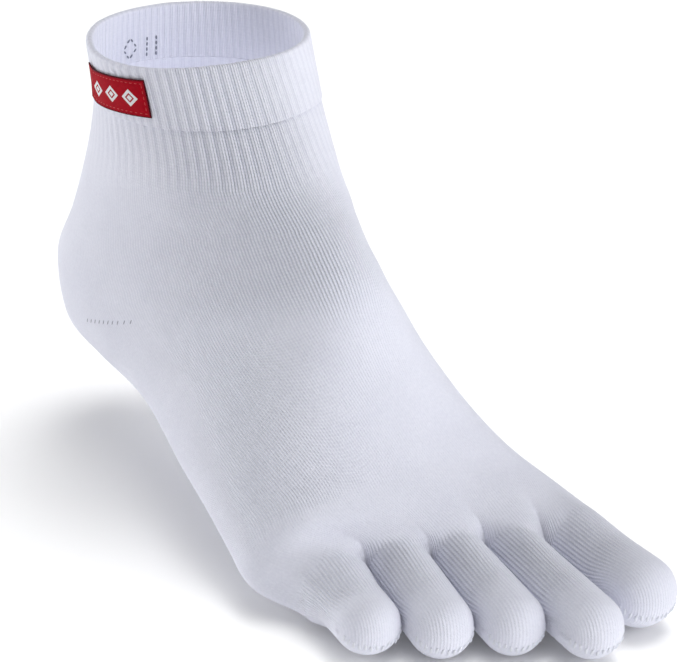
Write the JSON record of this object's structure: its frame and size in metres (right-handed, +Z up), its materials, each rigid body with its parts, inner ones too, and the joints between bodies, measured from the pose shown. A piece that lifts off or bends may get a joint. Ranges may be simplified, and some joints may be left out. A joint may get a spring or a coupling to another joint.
{
  "type": "toe sock",
  "caption": "Right-foot ankle-height toe sock, filled out and hollow, with a ribbed double cuff, a heel pocket and five separate toe pockets.",
  "frame": {"origin": "centre of the cuff's opening, at its rim", "axes": "+Z up out of the cuff, -Y towards the toes, +X to the big toe side"},
  "size_m": [0.1045, 0.2531, 0.147],
  "materials": {
    "rib_knit": "matt white cotton rib",
    "jersey_knit": "matt white cotton jersey knit",
    "woven_label": "red woven satin ribbon",
    "grey_thread": "grey knitted-in yarn"
  },
  "bodies": {
    "root": {"cuff_welt": "rib_knit", "ribbed_leg": "rib_knit", "heel_pocket": "jersey_knit", "arch_sleeve": "jersey_knit", "ball_sleeve": "jersey_knit", "toe_pocket_little": "jersey_knit", "toe_pocket_fourth": "jersey_knit", "toe_pocket_third": "jersey_knit", "toe_pocket_second": "jersey_knit", "toe_pocket_big": "jersey_knit", "label": "woven_label"}
  },
  "joints": []
}
